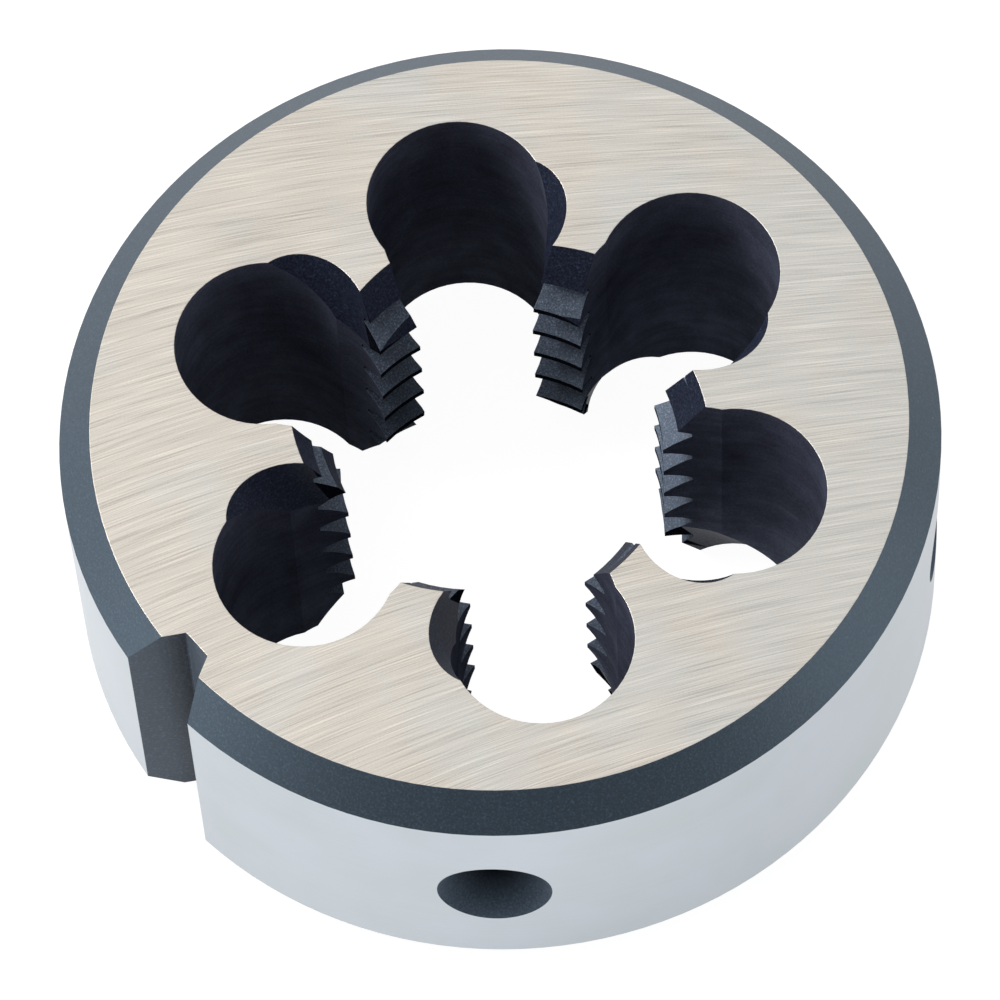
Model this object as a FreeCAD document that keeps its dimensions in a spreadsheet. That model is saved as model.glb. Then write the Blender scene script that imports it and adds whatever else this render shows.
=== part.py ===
import FreeCAD, Part
import os

import Sketcher

# Solid round die for a coarse right-hand thread, one turned, drilled and hardened steel disc.
# It lies on its lower face. The origin is on the axis in that face, and +Z is up.
# The notch in the rim points to -Y, and one of the chip holes lies on the +Y axis.

doc = FreeCAD.newDocument("threading_die")

# Driving dimensions, in millimetres and degrees.
# Places beside a chip hole are given on the +Y hole, across it (X) and along its radius (Y).
sizes = doc.addObject("Spreadsheet::Sheet", "Sizes")
DIMENSIONS = [
    ("outer_diameter", 55.0, "ground rim"),
    ("thickness", 21.6, "between the two flat faces, which are ground after hardening"),
    ("rim_chamfer_width", 2.05, "rim chamfers, along the radius"),
    ("upper_chamfer_height", 2.15, "upper rim chamfer, along the axis"),
    ("lower_chamfer_height", 1.9, "lower rim chamfer, along the axis"),
    ("thread_diameter", 24.0, "nominal size of the thread that the die cuts"),
    ("thread_pitch", 3.0, "rise of the thread in one turn"),
    ("thread_angle", 60.0, "angle between two tooth flanks"),
    ("thread_start", 2.27, "middle of a groove on the +X side, above the lower face"),
    ("tooth_tip_diameter", 20.32, "bore across the tooth tips"),
    ("hole_count", 6, "chip holes, with as many toothed lands between them"),
    ("hole_diameter", 11.38, "round outer part of a chip hole"),
    ("hole_circle_diameter", 31.1, "circle that the chip holes are drilled on"),
    ("rake_radius", 6.12, "hollow wall between a chip hole and the teeth"),
    ("rake_centre_across", 1.06, "centre of the hollow wall's arc, past the middle of the hole"),
    ("rake_centre_along", 13.44, "centre of the hollow wall's arc, from the die axis"),
    ("lead_in_diameter", 25.51, "lead-in cone, in the face"),
    ("lead_in_angle", 57.0, "angle of the lead-in cone"),
    ("lead_in_relief", 1.85, "shift of the cone's axis, which backs off the heels of the teeth"),
    ("nose_diameter", 7.36, "slanting cut that gives each land a keen, raked entry"),
    ("nose_across", 2.8, "axis of the slanting cut, in the face"),
    ("nose_along", 13.88, "axis of the slanting cut, in the face"),
    ("nose_tilt", 32.85, "lean of the slanting cut"),
    ("nose_heading", 47.9, "plan angle of that lean, from the line across the hole"),
    ("nose_length", 6.5, "length of the slanting cut, along its axis"),
    ("notch_floor_radius", 24.05, "floor of the rim notch, from the die axis"),
    ("notch_floor_width", 2.05, "floor of the rim notch, across"),
    ("notch_angle", 60.0, "angle between the notch's flanks"),
    ("dimple_diameter", 7.6, "conical seat for a holder's screw"),
    ("dimple_angle", 90.0, "angle of that cone"),
    ("dimple_height", 10.6, "middle of the seats, above the lower face"),
    ("near_dimple_place", 49.0, "seats on either side of the notch, round the rim"),
    ("far_dimple_place", 135.0, "second seats on either side of the notch, round the rim"),
    ("overcut", 1.0, "how far a cutting profile runs on past the surface that it enters"),
]
for row, (alias, number, meaning) in enumerate(DIMENSIONS, start=1):
    sizes.set(f"A{row}", alias)
    sizes.set(f"B{row}", str(number))
    sizes.set(f"C{row}", meaning)
    sizes.setAlias(f"B{row}", alias)
doc.recompute()

body = doc.addObject("PartDesign::Body", "DieBody")
body.Label = "die_body"
origin = {part.Role: part for part in body.Origin.OriginFeatures}


def new_sketch(name, plane, placement=None):
    """A sketch on one of the body's own planes, moved by a placement expression."""
    sketch = body.newObject("Sketcher::SketchObject", name)
    sketch.AttachmentSupport = [(origin[plane], "")]
    sketch.MapMode = "FlatFace"
    if placement:
        sketch.setExpression("AttachmentOffset", placement)
    doc.recompute()
    return sketch


def value(expression):
    """What an expression in the sheet's names comes to now."""
    return float(sizes.evalExpression(expression))


def tie(sketch, element, point, across, up):
    """Ties a point of a sketch element to a pair of expressions; 0 puts it on the axis."""
    for axis, kind, expression in ((-2, "DistanceX", across), (-1, "DistanceY", up)):
        if expression == "0":
            sketch.addConstraint(Sketcher.Constraint("PointOnObject", element, point, axis))
            continue
        rule = Sketcher.Constraint(kind, -1, 1, element, point, value(expression))
        sketch.setExpression(f"Constraints[{sketch.addConstraint(rule)}]", expression)


def tie_radius(sketch, element, expression):
    """Ties the radius of a circle or arc to an expression."""
    rule = Sketcher.Constraint("Radius", element, value(expression))
    sketch.setExpression(f"Constraints[{sketch.addConstraint(rule)}]", expression)


def outline(sketch, corners):
    """A closed outline of straight lines; each corner is a pair of expressions."""
    points = [FreeCAD.Vector(value(across), value(up), 0) for across, up in corners]
    for start, end in zip(points, points[1:] + points[:1]):
        sketch.addGeometry(Part.LineSegment(start, end))
    for number, corner in enumerate(corners):
        after = (number + 1) % len(corners)
        sketch.addConstraint(Sketcher.Constraint("Coincident", number, 2, after, 1))
        tie(sketch, number, 1, *corner)
    doc.recompute()


def changes_volume(feature, before):
    """Stops the build where a cut has missed the disc, and gives the new volume."""
    doc.recompute()
    after = feature.Shape.Volume
    if not after < before - 0.1:
        raise RuntimeError(f"{feature.Label} removes nothing")
    return after


# Turned disc: flat faces, chamfered rims and the bore that the tooth tips keep
RIM = "Sizes.outer_diameter / 2"
FACE_EDGE = f"{RIM} - Sizes.rim_chamfer_width"
BORE = "Sizes.tooth_tip_diameter / 2"
TOP = "Sizes.thickness"

disc_section = new_sketch("DiscSection", "XZ_Plane")
outline(disc_section, [
    (BORE, "0"),
    (FACE_EDGE, "0"),
    (RIM, "Sizes.lower_chamfer_height"),
    (RIM, f"{TOP} - Sizes.upper_chamfer_height"),
    (FACE_EDGE, TOP),
    (BORE, TOP),
])
disc = body.newObject("PartDesign::Revolution", "Disc")
disc.Profile = disc_section
disc.ReferenceAxis = (disc_section, ["V_Axis"])
disc.Angle = 360
doc.recompute()
volume = disc.Shape.Volume

# Chip hole: a drilled hole with a hollow wall on either side that reaches the tooth tips.
# The two walls' arcs run on and meet inside the bore, which closes the outline.
HOLE = "Sizes.hole_diameter / 2"
HOLE_ALONG = "Sizes.hole_circle_diameter / 2"


def arc(sketch, centre, radius, start, end):
    """An arc of a circle from one point to another, counter-clockwise."""
    circle = Part.Circle(centre, FreeCAD.Vector(0, 0, 1), radius)
    piece = Part.ArcOfCircle(circle, circle.parameter(start), circle.parameter(end))
    return sketch.addGeometry(piece)


hole_outline = new_sketch("ChipHoleOutline", "XY_Plane")
drill = Part.Circle(
    FreeCAD.Vector(0, value(HOLE_ALONG), 0), FreeCAD.Vector(0, 0, 1), value(HOLE)
)
left_centre, right_centre = (
    FreeCAD.Vector(side * value("Sizes.rake_centre_across"), value("Sizes.rake_centre_along"), 0)
    for side in (1, -1)
)
left_wall, right_wall = (
    Part.Circle(centre, FreeCAD.Vector(0, 0, 1), value("Sizes.rake_radius"))
    for centre in (left_centre, right_centre)
)
seams = {}
for side, wall in (("left", left_wall), ("right", right_wall)):
    outermost = min if side == "left" else max
    seams[side] = outermost(
        (FreeCAD.Vector(p.X, p.Y, 0) for p in drill.intersect(wall)), key=lambda p: p.x
    )
foot = min((FreeCAD.Vector(p.X, p.Y, 0) for p in left_wall.intersect(right_wall)), key=lambda p: p.y)
arc(hole_outline, drill.Center, drill.Radius, seams["right"], seams["left"])
arc(hole_outline, left_wall.Center, left_wall.Radius, seams["left"], foot)
arc(hole_outline, right_wall.Center, right_wall.Radius, foot, seams["right"])
for number in range(3):
    hole_outline.addConstraint(
        Sketcher.Constraint("Coincident", number, 2, (number + 1) % 3, 1)
    )
tie(hole_outline, 0, 3, "0", HOLE_ALONG)
tie(hole_outline, 1, 3, "Sizes.rake_centre_across", "Sizes.rake_centre_along")
tie(hole_outline, 2, 3, "-Sizes.rake_centre_across", "Sizes.rake_centre_along")
tie_radius(hole_outline, 0, HOLE)
tie_radius(hole_outline, 1, "Sizes.rake_radius")
tie_radius(hole_outline, 2, "Sizes.rake_radius")

chip_hole = body.newObject("PartDesign::Pocket", "ChipHole")
chip_hole.Profile = hole_outline
chip_hole.Type = "ThroughAll"
chip_hole.Reversed = True
volume = changes_volume(chip_hole, volume)
repeated = [chip_hole]

# Slanting cuts: in each face, a short leaning bore at one side of the chip hole.
# The one in the lower face is the upper one turned half a turn about the hole's radius.
# Each starts clear of the face, so that its whole tilted end lies outside the disc.
NOSE = "Sizes.nose_diameter / 2"
NOSE_RISE = f"({NOSE} * tan(Sizes.nose_tilt) + Sizes.overcut)"
NOSE_LEAN = (
    "placement(vector(0; 0; 0); rotation(vector(0; 0; 1); Sizes.nose_heading)"
    " * rotation(vector(0; 1; 0); Sizes.nose_tilt))"
    f" * placement(vector(0; 0; {NOSE_RISE}); rotation(vector(0; 0; 1); 0))"
)
nose_places = {
    "NoseTop": (
        f"placement(vector(Sizes.nose_across; Sizes.nose_along; {TOP});"
        f" rotation(vector(0; 1; 0); 0)) * {NOSE_LEAN}"
    ),
    "NoseBottom": (
        "placement(vector(-Sizes.nose_across; Sizes.nose_along; 0);"
        f" rotation(vector(0; 1; 0); 180)) * {NOSE_LEAN}"
    ),
}
for name, place in nose_places.items():
    circle = new_sketch(f"{name}Circle", "XY_Plane", place)
    circle.addGeometry(Part.Circle(FreeCAD.Vector(), FreeCAD.Vector(0, 0, 1), value(NOSE)))
    tie(circle, 0, 3, "0", "0")
    tie_radius(circle, 0, NOSE)
    nose = body.newObject("PartDesign::Pocket", name)
    nose.Profile = circle
    nose.setExpression("Length", f"{NOSE_RISE} + Sizes.nose_length")
    volume = changes_volume(nose, volume)
    repeated.append(nose)

# Lead-in: a cone in each face that tapers the first teeth of a land. Its axis is shifted
# along the rim from the die's axis, so that the teeth fall away behind their cutting edge.
LEAD_IN = "Sizes.lead_in_diameter / 2"
LEAD_SLOPE = "tan(Sizes.lead_in_angle / 2)"
LEAD_CORE = f"({BORE} - Sizes.lead_in_relief)"
LEAD_DEPTH = f"({LEAD_IN} - {LEAD_CORE}) / {LEAD_SLOPE}"
LEAD_WIDE = f"{LEAD_IN} + Sizes.overcut * {LEAD_SLOPE}"
LAND = "placement(vector(0; 0; 0); rotation(vector(0; 1; 0); 90 - 180 / Sizes.hole_count))"

lead_ins = {
    "LeadInTop": ("Sizes.lead_in_relief", [
        (LEAD_CORE, f"{TOP} + Sizes.overcut"),
        (LEAD_CORE, f"{TOP} - {LEAD_DEPTH}"),
        (LEAD_WIDE, f"{TOP} + Sizes.overcut"),
    ]),
    "LeadInBottom": ("-Sizes.lead_in_relief", [
        (LEAD_CORE, "-Sizes.overcut"),
        (LEAD_WIDE, "-Sizes.overcut"),
        (LEAD_CORE, LEAD_DEPTH),
    ]),
}
for name, (shift, corners) in lead_ins.items():
    place = f"{LAND} * placement(vector(0; 0; {shift}); rotation(vector(0; 0; 1); 0))"
    section = new_sketch(f"{name}Section", "XZ_Plane", place)
    outline(section, corners)
    lead_in = body.newObject("PartDesign::Groove", name)
    lead_in.Profile = section
    lead_in.ReferenceAxis = (section, ["V_Axis"])
    lead_in.Midplane = True
    lead_in.setExpression("Angle", "360 / Sizes.hole_count")
    volume = changes_volume(lead_in, volume)
    repeated.append(lead_in)

# The cuts above are the same at every chip hole and land
lands = body.newObject("PartDesign::PolarPattern", "Lands")
lands.Originals = repeated
lands.Axis = (origin["Z_Axis"], [""])
lands.Angle = 360
lands.setExpression("Occurrences", "Sizes.hole_count")
body.Tip = lands
volume = changes_volume(lands, volume)

# Notch for the set screw, the full height of the rim
NOTCH_HALF = "Sizes.notch_floor_width / 2"
NOTCH_FLOOR = "-Sizes.notch_floor_radius"
NOTCH_MOUTH = f"-({RIM} + Sizes.overcut)"
NOTCH_WIDE = (
    f"({NOTCH_HALF} + ({RIM} + Sizes.overcut - Sizes.notch_floor_radius)"
    " * tan(Sizes.notch_angle / 2))"
)
notch_outline = new_sketch("NotchOutline", "XY_Plane")
outline(notch_outline, [
    (f"-{NOTCH_HALF}", NOTCH_FLOOR),
    (f"-{NOTCH_WIDE}", NOTCH_MOUTH),
    (NOTCH_WIDE, NOTCH_MOUTH),
    (NOTCH_HALF, NOTCH_FLOOR),
])
notch = body.newObject("PartDesign::Pocket", "Notch")
notch.Profile = notch_outline
notch.Type = "ThroughAll"
notch.Reversed = True
volume = changes_volume(notch, volume)

# Conical seats for the holder's screws, about half way up the rim, two on each side of the notch
SEAT = "Sizes.dimple_diameter / 2"
SEAT_SLOPE = "tan(Sizes.dimple_angle / 2)"
seats = []
for name in ("near", "far"):
    place = (
        "placement(vector(0; Sizes.dimple_height; 0);"
        f" rotation(vector(0; 1; 0); Sizes.{name}_dimple_place - 90))"
    )
    section = new_sketch(f"{name.title()}SeatSection", "XZ_Plane", place)
    outline(section, [
        (f"{RIM} - {SEAT} / {SEAT_SLOPE}", "0"),
        (f"{RIM} + Sizes.overcut", "0"),
        (f"{RIM} + Sizes.overcut", f"{SEAT} + Sizes.overcut * {SEAT_SLOPE}"),
    ])
    seat = body.newObject("PartDesign::Groove", f"{name.title()}Seat")
    seat.Profile = section
    seat.ReferenceAxis = (section, ["H_Axis"])
    seat.Angle = 360
    volume = changes_volume(seat, volume)
    seats.append(seat)
other_seats = body.newObject("PartDesign::Mirrored", "OtherSeats")
other_seats.Originals = seats
other_seats.MirrorPlane = (origin["YZ_Plane"], [""])
body.Tip = other_seats
volume = changes_volume(other_seats, volume)

# Thread: one helical groove with the section of the thread's ridge, flat at its bottom.
# It starts far enough below the lower face, and ends far enough above the upper one, for the
# groove to run out through both.
GROOVE_FLAT = "Sizes.thread_pitch / 16"
GROOVE_BOTTOM = "Sizes.thread_diameter / 2"
GROOVE_MOUTH = f"{BORE} - Sizes.overcut / 4"
MOUTH_HALF = f"{GROOVE_FLAT} + ({GROOVE_BOTTOM} - ({GROOVE_MOUTH})) * tan(Sizes.thread_angle / 2)"
TURNS = "(ceil((Sizes.thread_start + Sizes.thread_pitch) / Sizes.thread_pitch))"
FIRST = f"(Sizes.thread_start - {TURNS} * Sizes.thread_pitch)"

groove_section = new_sketch("ThreadSection", "XZ_Plane")
outline(groove_section, [
    (GROOVE_MOUTH, f"{FIRST} - ({MOUTH_HALF})"),
    (GROOVE_BOTTOM, f"{FIRST} - {GROOVE_FLAT}"),
    (GROOVE_BOTTOM, f"{FIRST} + {GROOVE_FLAT}"),
    (GROOVE_MOUTH, f"{FIRST} + {MOUTH_HALF}"),
])
thread = body.newObject("PartDesign::SubtractiveHelix", "Thread")
thread.Profile = groove_section
thread.ReferenceAxis = (groove_section, ["V_Axis"])
thread.Mode = 0
thread.LeftHanded = False
thread.setExpression("Pitch", "Sizes.thread_pitch")
thread.setExpression(
    "Height", f"ceil(({TOP} - {FIRST}) / Sizes.thread_pitch + 0.5) * Sizes.thread_pitch"
)
volume = changes_volume(thread, volume)

body.Tip = thread
doc.recompute()

for item in doc.Objects:
    if any(word in item.State for word in ("Invalid", "Error")):
        raise RuntimeError(f"{item.Label} could not be made")
if body.Shape.isNull() or not body.Shape.isValid() or len(body.Shape.Solids) != 1:
    raise RuntimeError(f"{body.Label} is not one sound solid")

os.makedirs("parts", exist_ok=True)
body.Shape.exportStep(f"parts/{body.Label}.step")
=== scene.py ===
import math

import bmesh
import bpy
from mathutils import Matrix, Vector


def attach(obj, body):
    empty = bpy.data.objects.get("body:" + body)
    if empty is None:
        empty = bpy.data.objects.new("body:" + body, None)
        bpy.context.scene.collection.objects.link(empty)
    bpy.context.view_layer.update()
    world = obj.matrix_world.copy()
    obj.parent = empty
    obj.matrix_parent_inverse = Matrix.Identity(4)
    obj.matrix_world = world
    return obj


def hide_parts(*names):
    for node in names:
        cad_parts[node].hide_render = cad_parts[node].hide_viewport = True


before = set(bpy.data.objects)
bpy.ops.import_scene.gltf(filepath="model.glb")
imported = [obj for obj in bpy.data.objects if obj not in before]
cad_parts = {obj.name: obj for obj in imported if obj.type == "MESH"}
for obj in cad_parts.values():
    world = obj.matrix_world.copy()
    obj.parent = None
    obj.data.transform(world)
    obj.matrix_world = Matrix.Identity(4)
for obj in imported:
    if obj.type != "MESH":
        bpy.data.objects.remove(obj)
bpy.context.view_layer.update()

# Die body: one disc of hardened tool steel, drilled, threaded, blackened all over in steam, and
# then ground bright on its two faces and its rim. The mesh is a merged copy of the solid's; its
# edges are stoned by a few hundredths, and each zone of it gets the finish of the real one.
MM = 0.001
THICKNESS = 21.6
RIM_RADIUS = 27.5
OUTSIDE_RADIUS, THREAD_RADIUS = 22.5, 12.0
SEAT_HEIGHT, SEAT_REACH = 10.6, 4.0
HOLE_COUNT = 6
HOLE_RADIUS, HOLE_PLACE = 5.69, 15.55
HOLLOW_RADIUS, HOLLOW_ACROSS, HOLLOW_PLACE = 6.12, 1.06, 13.44
SEAM_ANGLE = math.radians(28)
MERGE_DISTANCE, SLIVER = 0.002, 0.001

# How far a point may lie from the wall or face that it is on, in millimetres
WALL_SLACK, RIM_SLACK, FACE_SLACK = 0.02, 0.03, 0.01
# The upward part of a face's normal: on a level face, a tooth's flank, a crest and a wall
LEVEL, FLANK, CREST_LEAN, UPRIGHT = 0.999, 0.7, 0.2, 0.03

FACE, RIM, OUTSIDE, BORED, ENTRY, TOOTH, CREST, SEAT, NOTCH = range(9)

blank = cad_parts["die_body"]
work = bmesh.new()
work.from_mesh(blank.data)
bmesh.ops.remove_doubles(work, verts=work.verts, dist=MERGE_DISTANCE * MM)
bmesh.ops.dissolve_degenerate(work, edges=work.edges, dist=SLIVER * MM)
work.normal_update()


def wall_of(points):
    """The upright wall on which all points lie, as its chip hole and side, or None."""
    for hole in range(HOLE_COUNT):
        turn = Matrix.Rotation(-hole * 2 * math.pi / HOLE_COUNT, 3, "Z")
        turned = [(turn @ p).xy for p in points]
        for side, (across, along, radius) in enumerate((
            (0, HOLE_PLACE, HOLE_RADIUS),
            (HOLLOW_ACROSS, HOLLOW_PLACE, HOLLOW_RADIUS),
            (-HOLLOW_ACROSS, HOLLOW_PLACE, HOLLOW_RADIUS),
        )):
            centre = Vector((across, along))
            if all(abs((p - centre).length - radius) < WALL_SLACK for p in turned):
                return hole, side
    return None


def zone_of(face):
    """The finish that a face of the die has, from where it lies and which way it looks."""
    points = [vertex.co / MM for vertex in face.verts]
    upward = abs(face.normal.z)
    if upward > LEVEL:
        if all(p.z < FACE_SLACK or p.z > THICKNESS - FACE_SLACK for p in points):
            return FACE
    if upward < UPRIGHT:
        if all(p.xy.length > RIM_RADIUS - RIM_SLACK for p in points):
            return RIM
        if wall_of(points) is not None:
            return BORED
    middle = sum(points, Vector()) / len(points)
    if middle.xy.length > OUTSIDE_RADIUS:
        if all(abs(p.z - SEAT_HEIGHT) < SEAT_REACH for p in points):
            return SEAT
        return NOTCH if upward < UPRIGHT else OUTSIDE
    if middle.xy.length < THREAD_RADIUS + WALL_SLACK:
        if upward > FLANK:
            return TOOTH
        if upward < CREST_LEAN:
            return CREST
    return ENTRY


walls = {}
for face in work.faces:
    face.material_index = zone_of(face)
    face.smooth = True
    if face.material_index == BORED:
        walls[face] = wall_of([vertex.co / MM for vertex in face.verts])
for edge in work.edges:
    one_wall = len({walls.get(face) for face in edge.link_faces}) == 1
    edge.smooth = one_wall and edge.calc_face_angle(0) < SEAM_ANGLE

die_mesh = bpy.data.meshes.new("threading_die")
work.to_mesh(die_mesh)
work.free()
die = bpy.data.objects.new("threading_die", die_mesh)
bpy.context.scene.collection.objects.link(die)

# Ground face: surface-ground tool steel. The wheel leaves long, slightly curved scratches that
# fan out across the face, warm grey with paler and darker strands. The real scratches are a few
# hundredths wide; the finest here are 0.055 mm, as fine as the render can show.
GRAIN_TURN = 53.44
LINE_TILT, LINE_BEND, LINE_FAN = -0.16, 0.0043, 0.0068
BAND_WIDTH, BAND_LENGTH = 0.6, 20.0
STRAND_WIDTH, STRAND_LENGTH = 0.1, 8.5
SCRATCH_WIDTH, SCRATCH_LENGTH = 0.055, 4.5
GRIT_SIZE = 0.12
PATCH_SIZE, COOLER_TO_THE_RIGHT = 7.0, 0.009
WARMEST, COOLEST = 0.35, 0.65
BAND_SHARE, STRAND_SHARE, SCRATCH_SHARE, GRIT_SHARE = 0.16, 0.4, 0.34, 0.1
SCRATCH_DEPTH = 0.02
STONED_EDGE, EDGE_SAMPLES = 0.07, 6


def colour(code):
    """An sRGB hex value as linear red, green, blue and alpha."""
    parts = [int(code[i:i + 2], 16) / 255 for i in (1, 3, 5)]
    return [p / 12.92 if p <= 0.04045 else ((p + 0.055) / 1.055) ** 2.4 for p in parts] + [1]


def add_node(material, kind, inputs=(), stops=(), **settings):
    """Adds a shader node with its settings, links and, on a colour ramp, its stops.

    An input is given a number, a colour or a socket, and a stop its place and hex colour.
    """
    node = material.node_tree.nodes.new(kind)
    for name, setting in settings.items():
        setattr(node, name, setting)
    for name, given in dict(inputs).items():
        if isinstance(given, bpy.types.NodeSocket):
            material.node_tree.links.new(given, node.inputs[name])
        else:
            node.inputs[name].default_value = given
    if stops:
        elements = node.color_ramp.elements
        while len(elements) < len(stops):
            elements.new(0.5)
        for element, (place, code) in zip(elements, stops):
            element.position = place
            element.color = colour(code)
    return node


def new_material(name, **settings):
    """A material with its Principled shader, whose sockets are set by name."""
    material = bpy.data.materials.new(name)
    material.use_nodes = True
    shader = material.node_tree.nodes["Principled BSDF"]
    for socket, setting in settings.items():
        shader.inputs[socket.replace("_", " ")].default_value = setting
    return material, shader


def join(material, source, shader, socket):
    """Links a socket to one of the shader's."""
    material.node_tree.links.new(source, shader.inputs[socket])


def weighed(material, parts, start=0.0):
    """The sum of patterns or places, each times its share, added to what it starts from."""
    total = start
    for part, share in parts:
        total = add_node(
            material, "ShaderNodeMath", {0: part, 1: share, 2: total}, operation="MULTIPLY_ADD"
        ).outputs[0]
    return total


ground, ground_shader = new_material("surface_ground_tool_steel", Metallic=1.0, Roughness=0.38)
place = add_node(ground, "ShaderNodeTexCoord").outputs["Object"]
turned = add_node(
    ground, "ShaderNodeMapping",
    {"Vector": place, "Rotation": (0, 0, math.radians(-GRAIN_TURN)), "Scale": (1 / MM,) * 3},
)
across = add_node(ground, "ShaderNodeSeparateXYZ", {"Vector": turned.outputs[0]})
along_x, along_y = across.outputs["X"], across.outputs["Y"]
slope = weighed(ground, ((along_x, LINE_BEND / 2), (along_y, LINE_FAN)), start=LINE_TILT)
height = weighed(ground, ((along_x, slope),), start=along_y)
line = add_node(ground, "ShaderNodeCombineXYZ", {"X": along_x, "Y": height}).outputs[0]


def strands(width, length, detail):
    """Noise drawn out along the scratches, with the size of one scratch in millimetres."""
    stretched = add_node(
        ground, "ShaderNodeMapping", {"Vector": line, "Scale": (1 / length, 1 / width, 1)}
    )
    return add_node(
        ground, "ShaderNodeTexNoise",
        {"Vector": stretched.outputs[0], "Scale": 1.0, "Detail": detail, "Roughness": 0.6},
        noise_dimensions="2D",
    ).outputs["Fac"]


bands = strands(BAND_WIDTH, BAND_LENGTH, 2.0)
fine = strands(STRAND_WIDTH, STRAND_LENGTH, 2.0)
hair = strands(SCRATCH_WIDTH, SCRATCH_LENGTH, 1.0)
grit = add_node(
    ground, "ShaderNodeTexNoise",
    {"Vector": turned.outputs[0], "Scale": 1 / GRIT_SIZE, "Detail": 1.0}, noise_dimensions="2D",
).outputs["Fac"]
mixed = weighed(
    ground,
    ((bands, BAND_SHARE), (fine, STRAND_SHARE), (hair, SCRATCH_SHARE), (grit, GRIT_SHARE)),
)
warm = add_node(
    ground, "ShaderNodeValToRGB", {"Fac": mixed},
    stops=[(0.34, "#B8B1A8"), (0.45, "#D2CBC1"), (0.55, "#DCD5CB"), (0.68, "#F2E9DC")],
).outputs["Color"]
cool = add_node(
    ground, "ShaderNodeValToRGB", {"Fac": mixed},
    stops=[(0.34, "#B9B8B2"), (0.45, "#CECCC6"), (0.55, "#D9D6D0"), (0.68, "#ECE9E1")],
).outputs["Color"]
patches = add_node(
    ground, "ShaderNodeTexNoise",
    {"Vector": turned.outputs[0], "Scale": 1 / PATCH_SIZE, "Detail": 2.0, "Roughness": 0.5},
    noise_dimensions="2D",
).outputs["Fac"]
drift = weighed(ground, ((along_x, COOLER_TO_THE_RIGHT),), start=patches)
share = add_node(
    ground, "ShaderNodeMapRange", {"Value": drift, "From Min": WARMEST, "From Max": COOLEST}
).outputs["Result"]
tinted = add_node(ground, "ShaderNodeMix", {0: share, 6: warm, 7: cool}, data_type="RGBA")
join(ground, tinted.outputs[2], ground_shader, "Base Color")
edges = add_node(
    ground, "ShaderNodeBevel", {"Radius": STONED_EDGE * MM}, samples=EDGE_SAMPLES
).outputs[0]
bump = add_node(
    ground, "ShaderNodeBump",
    {"Height": mixed, "Strength": 0.1, "Distance": SCRATCH_DEPTH * MM, "Normal": edges},
)
join(ground, bump.outputs[0], ground_shader, "Normal")

# Ground rim: the same steel, ground between centres, so its scratches run round the rim. They
# are too fine to catch the eye, which sees a cool pale grey with faint, wide clouds.
RING_WIDTH, RING_LENGTH = 0.1111, 25.0
RIM_PATCH = 6.0
RING_SHARE, CLOUD_SHARE = 0.35, 0.65

rim, rim_shader = new_material("cylindrically_ground_tool_steel", Metallic=1.0, Roughness=0.3)
place = add_node(rim, "ShaderNodeTexCoord").outputs["Object"]


def rings_round(material, place, width, length, detail):
    """Noise drawn out round the die's axis, with the size of one ring in millimetres."""
    stretched = add_node(
        material, "ShaderNodeMapping",
        {"Vector": place, "Scale": [1 / (size * MM) for size in (length, length, width)]},
    )
    return add_node(
        material, "ShaderNodeTexNoise",
        {"Vector": stretched.outputs[0], "Scale": 1.0, "Detail": detail, "Roughness": 0.6},
    ).outputs["Fac"]


rings = rings_round(rim, place, RING_WIDTH, RING_LENGTH, 2.0)
clouds = add_node(
    rim, "ShaderNodeTexNoise",
    {"Vector": place, "Scale": 1 / (RIM_PATCH * MM), "Detail": 2.0, "Roughness": 0.5},
).outputs["Fac"]
shades = add_node(
    rim, "ShaderNodeValToRGB",
    {"Fac": weighed(rim, ((rings, RING_SHARE), (clouds, CLOUD_SHARE)))},
    stops=[(0.35, "#C3CCD1"), (0.5, "#C6CED5"), (0.65, "#C9D0D9")],
).outputs["Color"]
join(rim, shades, rim_shader, "Base Color")
edges = add_node(
    rim, "ShaderNodeBevel", {"Radius": STONED_EDGE * MM}, samples=EDGE_SAMPLES
).outputs[0]
join(rim, edges, rim_shader, "Normal")

# Blackened steel: the blue-black oxide of steam tempering, left on the two chamfers. It is
# satin, with a fine speckle of paler grains. The real grains are a few hundredths wide, drawn
# here at 0.15 mm, so that they show.
SPECKLE, SPECKLE_DEPTH = 0.15, 0.03
# Paler grey for stoned edges, partly worn oxide and partly a painted edge highlight
WORN_AND_HIGHLIT_EDGE = "#8D97A4"
# How far a stoned edge's normal has turned from the face's own, as the cosine of the angle
PLAIN_TURN, PALEST_TURN = 0.98, 0.85


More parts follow.
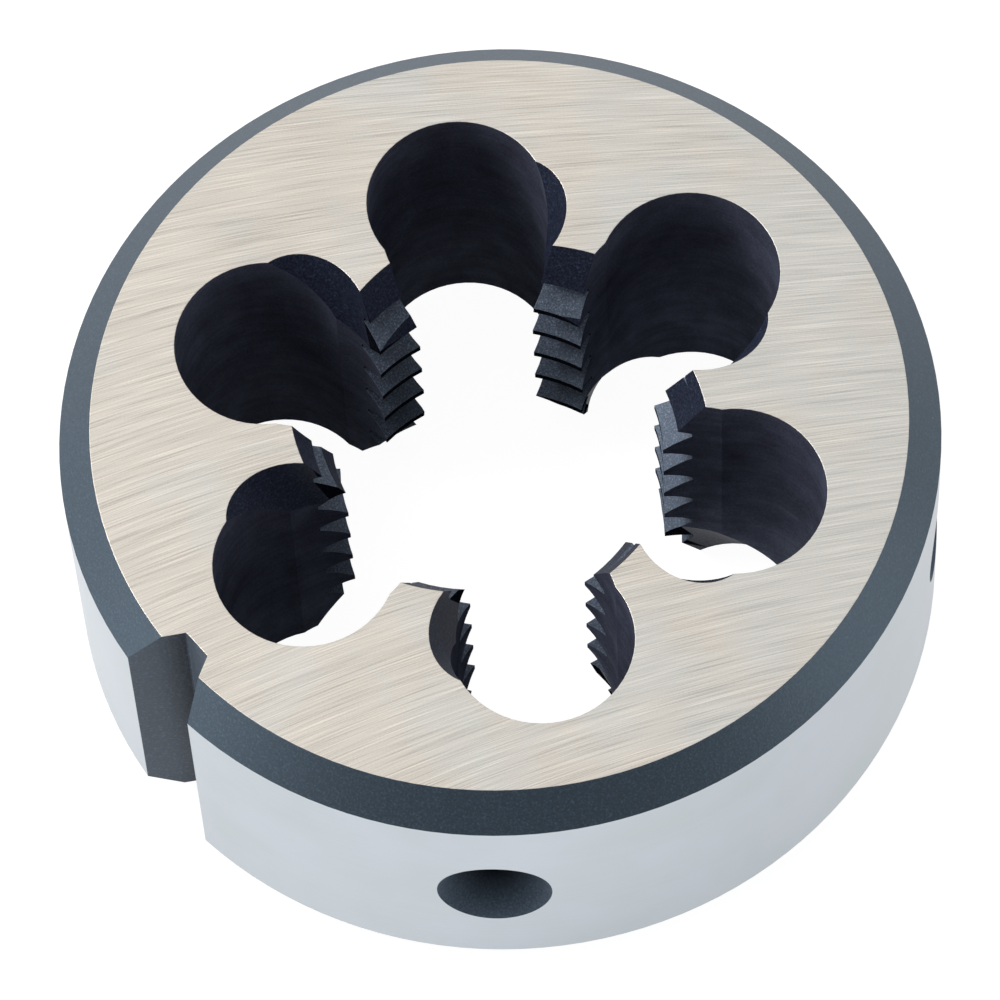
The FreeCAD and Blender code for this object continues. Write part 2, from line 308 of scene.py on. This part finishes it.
def blackened(name, grain, stops, bump_strength, worn_and_highlit=0.0, **settings):
    """Oxide on steel, with grains of a size in millimetres in the colours of the stops."""
    material, shader = new_material(name, **settings)
    edges = add_node(
        material, "ShaderNodeBevel", {"Radius": STONED_EDGE * MM}, samples=EDGE_SAMPLES
    ).outputs[0]
    place = add_node(material, "ShaderNodeTexCoord").outputs["Object"]
    grains = add_node(
        material, "ShaderNodeTexNoise",
        {"Vector": place, "Scale": 1 / (grain * MM), "Detail": 2.0, "Roughness": 0.65},
    ).outputs["Fac"]
    shades = add_node(
        material, "ShaderNodeValToRGB", {"Fac": grains}, stops=stops
    ).outputs["Color"]
    flat = add_node(material, "ShaderNodeNewGeometry").outputs["Normal"]
    alike = add_node(
        material, "ShaderNodeVectorMath", {0: edges, 1: flat}, operation="DOT_PRODUCT"
    ).outputs["Value"]
    # Edges turn paler: partly worn oxide, partly a painted edge highlight.
    wear_and_highlight = add_node(
        material, "ShaderNodeMapRange",
        {
            "Value": alike, "From Min": PLAIN_TURN, "From Max": PALEST_TURN,
            "To Min": 0.0, "To Max": worn_and_highlit,
        },
    ).outputs["Result"]
    tinted = add_node(
        material, "ShaderNodeMix", {0: wear_and_highlight, 6: shades, 7: colour(WORN_AND_HIGHLIT_EDGE)}, data_type="RGBA"
    )
    join(material, tinted.outputs[2], shader, "Base Color")
    bump = add_node(
        material, "ShaderNodeBump",
        {
            "Height": grains, "Strength": bump_strength, "Distance": SPECKLE_DEPTH * MM,
            "Normal": edges,
        },
    )
    join(material, bump.outputs[0], shader, "Normal")
    return material


oxide = blackened(
    "steam_blackened_tool_steel", SPECKLE,
    [(0.3, "#090E14"), (0.5, "#18222D"), (0.62, "#26323F"), (0.75, "#3B4B5B")],
    bump_strength=0.3, Roughness=0.45, IOR=2.0, Specular_Tint=(0.61, 0.81, 1.0, 1),
)

# Notch: the same oxide on the milled sides of the notch, with coarser and darker grains. Their
# sheen is painted: a painted shade dims it deep in, beside the narrow floor, and the floor
# itself gets a painted highlight.
NOTCH_FLOOR = 24.05
NOTCH_SPECKLE = 0.2
NOTCH_SHEEN = 0.62

notch = blackened(
    "steam_blackened_milled_notch", NOTCH_SPECKLE,
    [(0.32, "#030508"), (0.48, "#121922"), (0.6, "#26303D"), (0.75, "#4D5B6B")],
    bump_strength=0.6, Roughness=0.45, IOR=1.95, Specular_Tint=(0.5, 0.72, 1.0, 1),
)
notch_shader = notch.node_tree.nodes["Principled BSDF"]
place = add_node(notch, "ShaderNodeTexCoord").outputs["Object"]
apart = add_node(notch, "ShaderNodeSeparateXYZ", {"Vector": place})
outwards = add_node(
    notch, "ShaderNodeMapRange",
    {
        "Value": apart.outputs["Y"],
        "From Min": -NOTCH_FLOOR * MM, "From Max": -RIM_RADIUS * MM,
    },
).outputs["Result"]
# Painted shade and highlight: the sheen is full on the notch floor, drops just beside it and
# rises again outwards.
painted_sheen_by_depth = add_node(
    notch, "ShaderNodeValToRGB", {"Fac": outwards},
    stops=[(0.0, "#FFFFFF"), (0.02, "#FFFFFF"), (0.04, "#8C8C8C"), (0.5, "#CBCBCB")],
).outputs["Color"]
painted_notch_sheen = weighed(notch, ((painted_sheen_by_depth, NOTCH_SHEEN),))
join(notch, painted_notch_sheen, notch_shader, "Specular IOR Level")

# Seats: the same oxide in the four screw seats of the rim. It is matt and smoother than on the
# chamfers, with painted shade that darkens it to nearly black where a seat gets deep.
SEAT_DEEP, SEAT_MOUTH = 25.1, 27.4

seat = blackened(
    "steam_blackened_seat", SPECKLE,
    [(0.3, "#465260"), (0.5, "#4F5C6B"), (0.62, "#576575"), (0.75, "#637284")],
    bump_strength=0.06, Roughness=0.45, IOR=1.5, Specular_IOR_Level=0.06,
    Specular_Tint=(0.6, 0.8, 1.0, 1),
)
seat_shader = seat.node_tree.nodes["Principled BSDF"]
speckled = seat_shader.inputs["Base Color"].links[0].from_socket
place = add_node(seat, "ShaderNodeTexCoord").outputs["Object"]
flat = add_node(seat, "ShaderNodeVectorMath", {0: place, 1: (1, 1, 0)}, operation="MULTIPLY")
reach = add_node(seat, "ShaderNodeVectorMath", {0: flat.outputs[0]}, operation="LENGTH")
outwards = add_node(
    seat, "ShaderNodeMapRange",
    {
        "Value": reach.outputs["Value"],
        "From Min": SEAT_DEEP * MM, "From Max": SEAT_MOUTH * MM,
    },
).outputs["Result"]
# Painted shade: the seat's colour fades to nearly black towards its deep middle.
painted_shading = add_node(
    seat, "ShaderNodeMix", {0: outwards, 6: colour("#040608"), 7: speckled}, data_type="RGBA"
)
join(seat, painted_shading.outputs[2], seat_shader, "Base Color")

# Entries: the same oxide on the lead-in cones and the slanting cuts. It is darker and more even
# than on the chamfers, with little sheen.
entry = blackened(
    "steam_blackened_entry", SPECKLE,
    [(0.3, "#181B27"), (0.5, "#252A3A"), (0.62, "#2F3547"), (0.75, "#454D62")],
    bump_strength=0.3, Roughness=0.5, IOR=1.5, Specular_IOR_Level=0.15,
    Specular_Tint=(0.6, 0.7, 1.0, 1),
)

# Teeth: the same oxide on the cut flanks of the thread. It is paler than elsewhere, with a sharp
# speckle, and paler grey along the stoned edges: partly bare steel where the oxide wears off,
# partly a painted edge highlight.
TOOTH_SPECKLE = 0.11

tooth = blackened(
    "steam_blackened_cut_thread", TOOTH_SPECKLE,
    [(0.3, "#1E232D"), (0.48, "#373E4C"), (0.6, "#535D6D"), (0.75, "#7E8999")],
    bump_strength=0.4, worn_and_highlit=0.5, Roughness=0.5, IOR=1.8, Specular_Tint=(0.66, 0.8, 1.0, 1),
)

# Crests and roots: the same oxide on the narrow flats of the thread, which face the bore. They
# look nearly black and have no sheen.
crest = blackened(
    "steam_blackened_crest", SPECKLE,
    [(0.3, "#0A0B10"), (0.5, "#13151C"), (0.7, "#1E212B")],
    bump_strength=0.2, Roughness=0.65, Specular_IOR_Level=0.0,
)

# Bored walls: the same oxide on the drilled and ground walls of the chip holes, smoother and
# nearly black, with the faint rings that the drill left. Towards the lower face they are painted
# paler and bluer, a painted light that stands in for light from the floor below.
DRILL_RING_WIDTH, DRILL_RING_LENGTH = 0.4545, 6.667
SMEAR_SIZE = 2.5
DRILL_RING_SHARE, SMEAR_SHARE, SPECK_SHARE = 0.25, 0.45, 0.3

bored, bored_shader = new_material(
    "steam_blackened_bored_wall", Roughness=0.65, IOR=1.45, Specular_IOR_Level=0.0,
)
place = add_node(bored, "ShaderNodeTexCoord").outputs["Object"]
rings = rings_round(bored, place, DRILL_RING_WIDTH, DRILL_RING_LENGTH, 3.0)
smears = add_node(
    bored, "ShaderNodeTexNoise", {"Vector": place, "Scale": 1 / (SMEAR_SIZE * MM), "Detail": 3.0}
).outputs["Fac"]
specks = add_node(
    bored, "ShaderNodeTexNoise", {"Vector": place, "Scale": 1 / (SPECKLE * MM), "Detail": 1.0}
).outputs["Fac"]
marks = weighed(
    bored, ((rings, DRILL_RING_SHARE), (smears, SMEAR_SHARE), (specks, SPECK_SHARE))
)
upper_shades = add_node(
    bored, "ShaderNodeValToRGB", {"Fac": marks},
    stops=[(0.35, "#3B3C49"), (0.5, "#484B5B"), (0.65, "#565B6D")],
).outputs["Color"]
# Painted light: paler, bluer colours for the lower part of the walls, as if lit from the floor
# below.
painted_floor_light_shades = add_node(
    bored, "ShaderNodeValToRGB", {"Fac": marks},
    stops=[(0.35, "#5E6270"), (0.5, "#707687"), (0.65, "#838B9D")],
).outputs["Color"]
apart = add_node(bored, "ShaderNodeSeparateXYZ", {"Vector": place})
down = add_node(
    bored, "ShaderNodeMapRange",
    {"Value": apart.outputs["Z"], "From Min": THICKNESS * MM, "From Max": 0.0},
).outputs["Result"]
share = weighed(bored, ((down, down),))
painted_shading = add_node(
    bored, "ShaderNodeMix", {0: share, 6: upper_shades, 7: painted_floor_light_shades}, data_type="RGBA"
)
join(bored, painted_shading.outputs[2], bored_shader, "Base Color")

# Finished die: the nine finishes go on in the order of their zones, and the dressed disc takes
# the place of the solid one. It is a single piece, so it all rides on the one body.
for material in (ground, rim, oxide, bored, entry, tooth, crest, seat, notch):
    die_mesh.materials.append(material)
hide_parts("die_body")
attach(die, "root")

# Floor: a plain white table, larger than the camera sees. It is white to the camera and pale in
# reflections, and keeps the soft shadow of the die, more of it in reflections.
FLOOR_SIZE, FLOOR_GAP = 3000, 0.02
FLOOR_SHADE, REFLECTED_SHADE = 0.2, 0.42
PAPER, PAPER_GLOW = (0.85, 0.85, 0.85, 1), 1.2

floor_mesh = bpy.data.meshes.new("floor")
half = FLOOR_SIZE * MM / 2
floor_mesh.from_pydata(
    [(-half, -half, 0), (half, -half, 0), (half, half, 0), (-half, half, 0)], [], [(0, 1, 2, 3)]
)
floor = bpy.data.objects.new("floor", floor_mesh)
floor.location.z = -FLOOR_GAP * MM
bpy.context.scene.collection.objects.link(floor)
paper = bpy.data.materials.new("white_table")
paper.use_nodes = True
paper.node_tree.nodes.clear()
rays = add_node(paper, "ShaderNodeLightPath").outputs
share = 0.0
for kind, shade in (
    ("Is Camera Ray", FLOOR_SHADE),
    ("Is Transmission Ray", FLOOR_SHADE),
    ("Is Glossy Ray", REFLECTED_SHADE),
):
    glow = weighed(paper, ((rays[kind], 1 - shade),))
    share = add_node(
        paper, "ShaderNodeMath", {0: share, 1: glow}, operation="MAXIMUM"
    ).outputs[0]
matt = add_node(paper, "ShaderNodeBsdfDiffuse", {"Color": PAPER})
white = add_node(paper, "ShaderNodeEmission", {"Color": (1, 1, 1, 1), "Strength": PAPER_GLOW})
mix = add_node(
    paper, "ShaderNodeMixShader", {0: share, 1: matt.outputs[0], 2: white.outputs[0]}
)
add_node(paper, "ShaderNodeOutputMaterial", {"Surface": mix.outputs[0]})
floor_mesh.materials.append(paper)

# Camera: where the photograph was taken from, over the rim between the notch and a seat. The
# angles are in degrees, and the lengths and the lens in millimetres.
VIEW_TURN, VIEW_HEIGHT, VIEW_ROLL = 53.439, 63.449, -3.647
VIEW_DISTANCE = 464.9
VIEW_LEFT, VIEW_UP = 0.0812, -5.185
LENS, SENSOR = 269.65, 36.0
NEAREST, FARTHEST = 10, 20000

turn, height, roll = (math.radians(a) for a in (VIEW_TURN, VIEW_HEIGHT, VIEW_ROLL))
level = Vector((math.cos(turn), math.sin(turn), 0))
onward = Vector((-math.sin(turn), math.cos(turn), 0))
aim = onward * math.cos(height) - Vector((0, 0, math.sin(height)))
upright = onward * math.sin(height) + Vector((0, 0, math.cos(height)))
right = level * math.cos(roll) + upright * math.sin(roll)
up = upright * math.cos(roll) - level * math.sin(roll)
centre = Vector((0, 0, THICKNESS))
place = (centre + right * VIEW_LEFT + up * VIEW_UP - aim * VIEW_DISTANCE) * MM

camera_data = bpy.data.cameras.new("camera")
camera_data.lens = LENS
camera_data.sensor_width = SENSOR
camera_data.clip_start, camera_data.clip_end = NEAREST * MM, FARTHEST * MM
camera = bpy.data.objects.new("camera", camera_data)
axes = Matrix((right, up, -aim)).transposed().to_4x4()
camera.matrix_world = Matrix.Translation(place) @ axes
bpy.context.scene.collection.objects.link(camera)
bpy.context.scene.camera = camera

# Light: a bright white room that is dimmer behind the camera and high on the right, a wide weak
# lamp on either side of the camera, and a narrower, brighter one high on the left.
ROOM_LIGHT = 0.97
DIM_HEIGHT = math.radians(35)
LAMP_DISTANCE = 1000
WIDE_LAMP, NARROW_LAMP = 700, 400

world = bpy.data.worlds.new("room")
world.use_nodes = True
sky = world.node_tree.nodes["Background"]
sky.inputs["Color"].default_value = (1, 1, 1, 1)
dim_side = -onward * math.cos(DIM_HEIGHT) + Vector((0, 0, math.sin(DIM_HEIGHT)))
dim_right = (level + Vector((0, 0, 1))).normalized()
ray = add_node(world, "ShaderNodeTexCoord").outputs["Generated"]

# Towards each dimmer side the light falls smoothly to its least, between two cosines of the
# angle to that side
room = ROOM_LIGHT
for towards, outer, inner, least in ((dim_side, 0.4, 0.85, 0.26), (dim_right, 0.7, 0.92, 0.3)):
    facing = add_node(
        world, "ShaderNodeVectorMath", {0: ray, 1: towards}, operation="DOT_PRODUCT"
    ).outputs["Value"]
    light_left = add_node(
        world, "ShaderNodeMapRange",
        {
            "Value": facing, "From Min": outer, "From Max": inner,
            "To Min": 1.0, "To Max": least,
        },
        interpolation_type="SMOOTHSTEP",
    ).outputs["Result"]
    room = weighed(world, ((light_left, room),))
world.node_tree.links.new(room, sky.inputs["Strength"])
bpy.context.scene.world = world


def soft_lamp(name, side, rise, size, radiance):
    """A square soft lamp that looks at the die; side 0 is behind the camera, 90 to its right."""
    lamp = bpy.data.lights.new(name, "AREA")
    lamp.size = size * MM
    lamp.energy = radiance * math.pi * lamp.size ** 2
    side, rise = math.radians(side), math.radians(rise)
    out = level * math.sin(side) - onward * math.cos(side)
    spot = (out * math.cos(rise) + Vector((0, 0, math.sin(rise)))) * LAMP_DISTANCE * MM
    fitting = bpy.data.objects.new(name, lamp)
    fitting.location = spot
    fitting.rotation_euler = (-spot).to_track_quat("-Z", "Y").to_euler()
    bpy.context.scene.collection.objects.link(fitting)


soft_lamp("left_lamp", side=-75, rise=12, size=WIDE_LAMP, radiance=0.85)
soft_lamp("right_lamp", side=75, rise=12, size=WIDE_LAMP, radiance=1.0)
soft_lamp("upper_left_lamp", side=-105, rise=50, size=NARROW_LAMP, radiance=9.0)

bpy.context.scene.view_settings.view_transform = "Standard"
